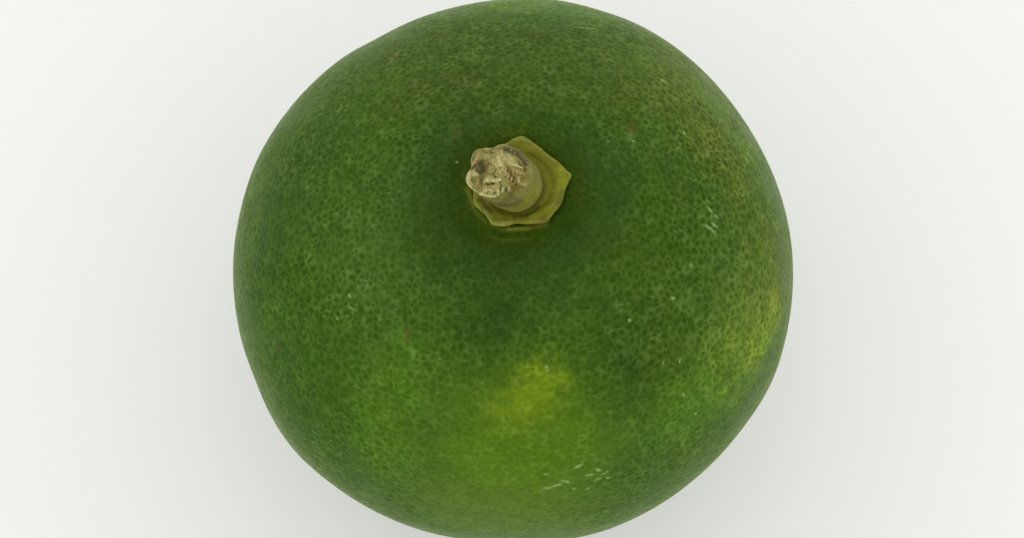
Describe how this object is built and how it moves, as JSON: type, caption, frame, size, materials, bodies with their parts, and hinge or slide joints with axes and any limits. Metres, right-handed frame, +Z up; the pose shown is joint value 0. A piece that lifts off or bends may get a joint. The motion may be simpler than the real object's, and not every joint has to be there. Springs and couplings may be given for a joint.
{
  "type": "lime",
  "caption": "Whole fresh green lime standing on its blossom end, with a lobed calyx and the cut, leaning stub of its stem on top.",
  "frame": {"origin": "the middle of the small flat spot at the blossom end that the fruit rests on, straight under the middle of the stem end", "axes": "+Z up through the stem end, +X towards the longest sepal, -Y the side with the yellow patch"},
  "size_m": [0.0567, 0.0553, 0.0619],
  "materials": {
    "rind": "satin",
    "calyx": "matte",
    "stem": "matte"
  },
  "bodies": {
    "root": {"fruit": "rind", "calyx": "calyx", "stem": "stem"}
  },
  "joints": []
}
